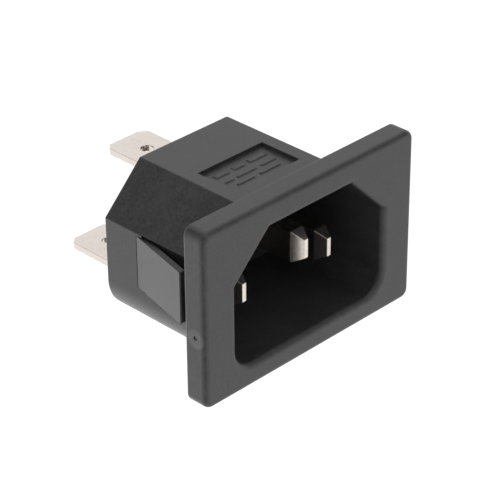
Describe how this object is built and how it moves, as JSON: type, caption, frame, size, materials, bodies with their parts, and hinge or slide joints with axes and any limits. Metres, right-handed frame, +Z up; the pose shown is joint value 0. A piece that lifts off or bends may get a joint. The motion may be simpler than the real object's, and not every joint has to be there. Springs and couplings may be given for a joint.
{
  "type": "panel inlet socket",
  "caption": "Snap-in C14 appliance inlet: flat rectangular flange, bevelled socket round upright blades, sprung side arms and quick-connect tabs at the rear.",
  "frame": {"origin": "middle of the socket, on the plane where the back of the flange meets the panel", "axes": "+X across the flange, +Y through the panel towards the tabs, +Z up, towards the earth blade"},
  "size_m": [0.034, 0.0311, 0.0225],
  "materials": {
    "black_moulding": "fine satin texture of glass-filled nylon",
    "plated_brass": "satin nickel plate"
  },
  "bodies": {
    "inlet": {"housing": "black_moulding", "left_power_contact": "plated_brass", "right_power_contact": "plated_brass", "earth_contact": "plated_brass"},
    "left_arm": {"snap_arm_left": "black_moulding"},
    "right_arm": {"snap_arm_right": "black_moulding"}
  },
  "joints": [
    {"name": "left_arm_press", "type": "hinge", "parent": "inlet", "child": "left_arm", "pos_m": [-0.0125, 0.0122, 0.00007], "axis": [0, 0, 1], "range_deg": [0, 7], "stiffness_Nm_per_rad": 0.3},
    {"name": "right_arm_press", "type": "hinge", "parent": "inlet", "child": "right_arm", "pos_m": [0.0125, 0.0122, 0.00007], "axis": [0, 0, -1], "range_deg": [0, 7], "stiffness_Nm_per_rad": 0.3}
  ]
}
